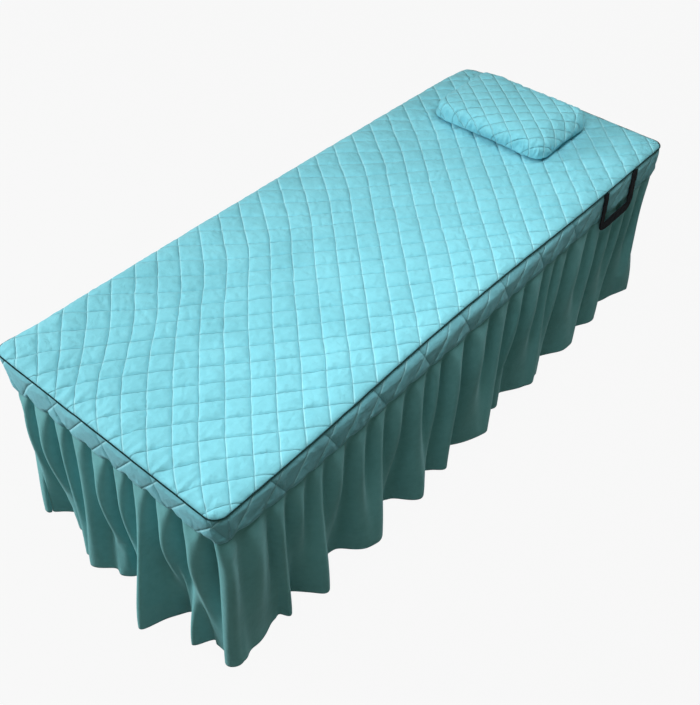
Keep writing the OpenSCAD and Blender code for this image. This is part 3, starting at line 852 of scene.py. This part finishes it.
def fill_pillow(bm):
    """Swells the two panels with filling, so that they draw up along the seam."""
    flat = bm.verts.layers.float_vector["flat"]
    forms = [pillow_form(*v[flat]) for v in bm.verts]
    cut_places = [(form.x * 1.03, form.y * 1.03, form.z * 1.05) for form in forms]
    run_cloth("pillow_filling_up", bm, cut_places, PILLOW_FRAMES, gravity=0.0,
              quality=6, mass=0.10, air_damping=4.0, tension_stiffness=30, compression_stiffness=30,
              shear_stiffness=10, bending_stiffness=0.8, use_pressure=True, uniform_pressure_force=0.7)


def pillow_squares(u, w, side):
    """The count of quilted squares at a point; the lines bow a little and run on down the pillow's sides."""
    form = pillow_form(u, w, side)
    down = LINES_ON_SIDES * (1 - math.cos(turn_down(max(abs(u), abs(w)))))
    x, y = (Vector((form.x, form.y)) * (1.28 + down / max(1e-3, math.hypot(form.x, form.y)))).to_tuple()
    bow = 0.007 * math.sin(2.2 * u + 1.0) + 0.006 * math.sin(2.6 * w)
    a = ((x + bow) * math.cos(LINE_A) + (y - bow) * math.sin(LINE_A)) / STEP_A + 0.35
    b = ((x + bow) * math.cos(LINE_B) + (y + bow) * math.sin(LINE_B)) / STEP_B + 0.15
    return a, b


def quilted_pillow(bm):
    """Lays the filled pillow down, then sinks the quilting into it."""
    flat = bm.verts.layers.float_vector["flat"]
    lo = [min(v.co[i] for v in bm.verts) for i in range(3)]
    hi = [max(v.co[i] for v in bm.verts) for i in range(3)]
    high = hi[2] - lo[2]
    fit = Vector((PILLOW_W / (hi[0] - lo[0]), PILLOW_L / (hi[1] - lo[1]), min(PILLOW_HIGH, high) / high))
    for v in bm.verts:
        v.co = v.co * fit
    bmesh.ops.subdivide_edges(bm, edges=bm.edges[:], cuts=1, use_grid_fill=True, smooth=0.5)
    squares = bm.verts.layers.float_vector.new("squares")
    bm.normal_update()
    moved = []
    for v in bm.verts:
        u, w, side = v[flat]
        a, b = pillow_squares(u, w, side)
        v[squares] = (a, b, 0)
        edge = min((1 - abs(u)) * PILLOW_W / 2, (1 - abs(w)) * PILLOW_L / 2)
        inner = smooth(edge / 0.035)
        lift = PILLOW_PUFF * (puff(a, b) - 0.75) * inner + 0.0012 * pucker(a, b, 3.3) * inner
        lift += 0.0012 * wrinkle(v.co, 0.02, 5)
        if side > 0:
            along = v.co.y if 1 - abs(u) < 1 - abs(w) else v.co.x
            ripples = PILLOW_FOOT_RIPPLES if u < -abs(w) else PILLOW_RIPPLES
            lift += (ripples * uneven(along * 95, edge * 20, 2.5) * math.exp(-edge / 0.026)
                     * min(1.0, edge / 0.004))
        moved.append(v.co + v.normal * lift)
    low = min(p.z for p in moved)
    for v, p in zip(bm.verts, moved):
        z = p.z - low - 0.007
        if z < 0.02:    # the underside is pressed flat where it rests
            z = 0.0004 * math.log1p(math.exp(min(60.0, z / 0.0004)))
        v.co = (PILLOW_X + p.x, PILLOW_Y + p.y, PILLOW_Z + z)
    return bm


# ---- side strap ----

STRAP_X, STRAP_Y, STRAP_TOP = 0.665, -0.3583, 0.588         # middle of its sewn edge
STRAP_SPAN, STRAP_DROP, STRAP_W, STRAP_T = 0.160, 0.124, 0.018, 0.003
STRAP_BEND = 0.016          # radius of its two lower corners
STRAP_CELL, STRAP_ROWS = 0.0025, 8
END_Y, END_Z, END_T, END_H = -0.35475, 0.5833, 0.0030, 0.0125


def strap_line(d):
    """Middle line of the loop, d metres from the start of its first leg, and the way out there."""
    half, drop, bend = STRAP_SPAN / 2, STRAP_DROP - STRAP_W / 2, STRAP_BEND
    length = 2 * drop + STRAP_SPAN
    if d < drop - bend:
        return Vector((-half, -d)), Vector((-1, 0))
    if d > length - (drop - bend):
        return Vector((half, d - length)), Vector((1, 0))
    if drop + bend < d < drop + STRAP_SPAN - bend:
        return Vector((-half + d - drop, -drop)), Vector((0, -1))
    left = d < length / 2
    turn = ((d - (drop - bend)) if left else (length - (drop - bend) - d)) / (2 * bend) * math.pi / 2
    n = Vector((-math.cos(turn), -math.sin(turn)))
    p = Vector((-half + bend, -drop + bend)) + n * bend
    if not left:
        n.x, p.x = -n.x, -p.x
    return p, n


def strap_loop():
    """A loop of flat webbing that hangs from the seam: down one leg, across, and up the other."""
    drop = STRAP_DROP - STRAP_W / 2
    length = 2 * drop + STRAP_SPAN
    lean = math.tan(math.radians(2.3))
    bm = bmesh.new()
    bmesh.ops.create_grid(bm, x_segments=round(length / STRAP_CELL), y_segments=STRAP_ROWS, size=0.5)
    for v in bm.verts:
        d, across = (v.co.x + 0.5) * length, v.co.y * STRAP_W
        p, n = strap_line(d)
        wide = 1.20 + 0.50 * smooth((d - drop) / 0.05) + 0.10 * uneven(d * 40, v.co.y, 4)
        wide += 0.05 * uneven(d * 260, v.co.y * 2, 9)
        sway = 0.001 * math.sin(2 * math.pi * d / 0.06 * 1.7)
        q = p + n * across * wide + Vector((sway, 0)) * smooth((d - length / 2) / 0.06)
        fuzz = 0.0008 * uneven(q.x * 300, q.y * 300, 3) + 0.0012 * uneven(q.x * 60, q.y * 60, 7)
        y = STRAP_Y + lean * q.y + (fuzz * 0.8 - 0.0006) * smooth(-q.y / 0.015)
        v.co = (STRAP_X + q.x, y, STRAP_TOP + q.y)
    face_out(bm)
    return bm


def strap_ends():
    """The two ends of the webbing, caught in the corded seam."""
    bm = bmesh.new()
    for side in (-1, 1):
        box(bm, (STRAP_W * 1.06, END_T, END_H), (STRAP_X + side * STRAP_SPAN / 2, END_Y, END_Z))
    bevel(bm, bm.edges[:], 0.0008, 2)
    return bm


# ---- padded top under the cover ----

PAD_SIZE, PAD_MIDDLE = (1.836, 0.692, 0.0735), (0, 0, 0.5547)
PAD_CORNER, PAD_RIM = 0.025, 0.014      # radii of its upright corners and its upper edge
PAD_TURN_UNDER, VINYL_T = 0.030, 0.0012


def upholstered_pad():
    """Foam on a board, wrapped in vinyl that turns under the board's edge."""
    bm = bmesh.new()
    box(bm, PAD_SIZE, PAD_MIDDLE)
    bevel(bm, [e for e in bm.edges if abs(e.verts[0].co.z - e.verts[1].co.z) > 0.01], PAD_CORNER, 6)
    bottom = min(bm.faces, key=lambda f: f.calc_center_median().z)
    bmesh.ops.inset_region(bm, faces=[bottom], thickness=PAD_TURN_UNDER, depth=0.0)
    bottom = max((f for f in bm.faces if f.normal.z < -0.9), key=lambda f: f.calc_area())
    raised = bmesh.ops.extrude_face_region(bm, geom=[bottom])["geom"]
    bmesh.ops.translate(bm, vec=(0, 0, VINYL_T), verts=only_verts(raised))
    if bottom.is_valid:
        bmesh.ops.delete(bm, geom=[bottom], context="FACES_ONLY")
    rim = [e for e in bm.edges if e.calc_face_angle(0) > 1.0 and min(v.co.z for v in e.verts) > PAD_MIDDLE[2]]
    bevel(bm, rim, PAD_RIM, 5)
    face_out(bm)
    return bm


# ---- camera, light and floor ----

FOCAL, PICTURE_H, SENSOR = 967.116, 705, 36     # focal length and picture height in pixels, sensor in mm
CAMERA_AT = (-1.61858, -1.25893, 2.15871)
AZIMUTH, PITCH, ROLL = math.radians(39.6623), math.radians(44.3034), math.radians(1.4638)
FILL_COLOUR, FILL_STRENGTH = (0.90, 1.0, 0.62, 1), 0.105
FLOOR_COLOUR, FLOOR_GLOW, FLOOR_SIZE = (0.11, 0.11, 0.105, 1), 0.93, 30


def set_camera():
    data = bpy.data.cameras.new("camera")
    data.lens = FOCAL * SENSOR / PICTURE_H
    data.clip_end = 60
    cam = bpy.data.objects.new("camera", data)
    scene.collection.objects.link(cam)
    ahead = Vector((math.cos(PITCH) * math.cos(AZIMUTH), math.cos(PITCH) * math.sin(AZIMUTH),
                    -math.sin(PITCH)))
    right = ahead.cross(Vector((0, 0, 1))).normalized()
    up = right.cross(ahead)
    rolled_right = right * math.cos(ROLL) + up * math.sin(ROLL)
    rolled_up = -right * math.sin(ROLL) + up * math.cos(ROLL)
    turn = Matrix((rolled_right, rolled_up, -ahead)).transposed()
    cam.matrix_world = Matrix.Translation(CAMERA_AT) @ turn.to_4x4()
    scene.camera = cam


def area_lamp(name, place, target, size, watts, colour):
    data = bpy.data.lights.new(name, "AREA")
    data.shape, data.size, data.size_y, data.energy, data.color = "RECTANGLE", *size, watts, colour
    lamp = bpy.data.objects.new(name, data)
    scene.collection.objects.link(lamp)
    lamp.location = place
    lamp.rotation_euler = (Vector(target) - Vector(place)).to_track_quat("-Z", "Y").to_euler()


def shown_or_lighting(tree, shown, lighting, share, out):
    """Shows one shader to the camera and in reflections, by a share, and another to all other light."""
    kinds = ("LightPath", "Math", "Math", "MixShader")
    path, either, factor, mix = [tree.nodes.new("ShaderNode" + kind) for kind in kinds]
    either.operation, factor.operation = "MAXIMUM", "MULTIPLY"
    factor.inputs[1].default_value = share
    for source, target in ((path.outputs["Is Camera Ray"], either.inputs[0]),
                           (path.outputs["Is Glossy Ray"], either.inputs[1]),
                           (either.outputs[0], factor.inputs[0]), (factor.outputs[0], mix.inputs[0]),
                           (lighting.outputs[0], mix.inputs[1]), (shown.outputs[0], mix.inputs[2]),
                           (mix.outputs[0], out.inputs["Surface"])):
        tree.links.new(source, target)


def studio_world():
    """White where it is seen, and a faint fill light elsewhere."""
    world = bpy.data.worlds.new("studio")
    scene.world = world
    world.use_nodes = True
    tree = world.node_tree
    tree.nodes.clear()
    white, fill = tree.nodes.new("ShaderNodeBackground"), tree.nodes.new("ShaderNodeBackground")
    white.inputs["Color"].default_value, white.inputs["Strength"].default_value = (1, 1, 1, 1), 1.0
    fill.inputs["Color"].default_value, fill.inputs["Strength"].default_value = FILL_COLOUR, FILL_STRENGTH
    shown_or_lighting(tree, white, fill, 1.0, tree.nodes.new("ShaderNodeOutputWorld"))


def pale_floor():
    """A plain floor that looks nearly white, but throws little light back at the bed."""
    bm = bmesh.new()
    bmesh.ops.create_grid(bm, x_segments=2, y_segments=2, size=FLOOR_SIZE)
    floor = link_mesh("floor", bm)
    bm.free()
    made = bpy.data.materials.new("pale_floor")
    made.use_nodes = True
    tree = made.node_tree
    dull, glow = tree.nodes["Principled BSDF"], tree.nodes.new("ShaderNodeEmission")
    dull.inputs["Base Color"].default_value, dull.inputs["Roughness"].default_value = FLOOR_COLOUR, 0.9
    glow.inputs["Color"].default_value = (1, 1, 1, 1)
    shown_or_lighting(tree, glow, dull, FLOOR_GLOW, tree.nodes["Material Output"])
    floor.data.materials.append(made)


# ---- the object ----

PANELS = (("right", -ARC, HEAD_START), ("head", HEAD_START, HEAD_START + END),
          ("left", HEAD_START + END, FOOT_START), ("foot", FOOT_START, ROUND - ARC))

set_camera()
finish_cad_nodes()

top = piece("cover_top_quilt", quilted_top(), QUILTED, "cover", "quilted_cloth", "cover_top")
band = piece("cover_band", ring(BAND_CELL, BAND_ROWS, band_point), QUILTED, "cover", "quilted_cloth",
             "band_right", "band_left", "band_foot", "band_head")
add_modifier(band, "SOLIDIFY", thickness=BAND_THICK, offset=-1.0)
piece("cover_piping", ring(PIPING_CELL, PIPING_SIDES, piping_point), CORD, "cover", "piping_cord", "piping")

skirt = skirt_cloth()
hang_skirt(skirt)
for name, start, end in PANELS:
    panel = piece("skirt_" + name + "_cloth", skirt_panel(skirt, start, end), GATHERED, "cover",
                  "skirt_cloth", "skirt_" + name)
    add_modifier(panel, "SUBSURF", levels=1, render_levels=1)
    add_modifier(panel, "SOLIDIFY", thickness=SKIRT_THICK, offset=-1.0)
    cut_length(start, end)
skirt.free()

bag = pillow_bag()
fill_pillow(bag)
pillow = piece("pillow_quilt", quilted_pillow(bag), QUILTED, "pillow", "quilted_cloth",
               "pillowcase", "pillow_filling")

strap = piece("side_strap_webbing", strap_loop(), WEBBING, "strap", "webbing", "side_strap")
add_modifier(strap, "SOLIDIFY", thickness=STRAP_T, offset=0.0)
piece("strap_ends", strap_ends(), WEBBING, "cover", "webbing", "strap_tabs")
pad = piece("upholstered_pad", upholstered_pad(), VINYL, "bed_frame", "cream_vinyl",
            "vinyl_upholstery", "foam_pad")

studio_world()
area_lamp("window", (-2.5, 2.5, 2.0), (-0.4, 0.0, 0.4), (1.1, 1.1), 105, (0.97, 1.0, 1.0))
area_lamp("overhead", (-0.18, -0.42, 1.75), (-0.18, -0.38, 0.5), (2.4, 0.4), 22.5, (0.98, 1.0, 1.0))
pale_floor()
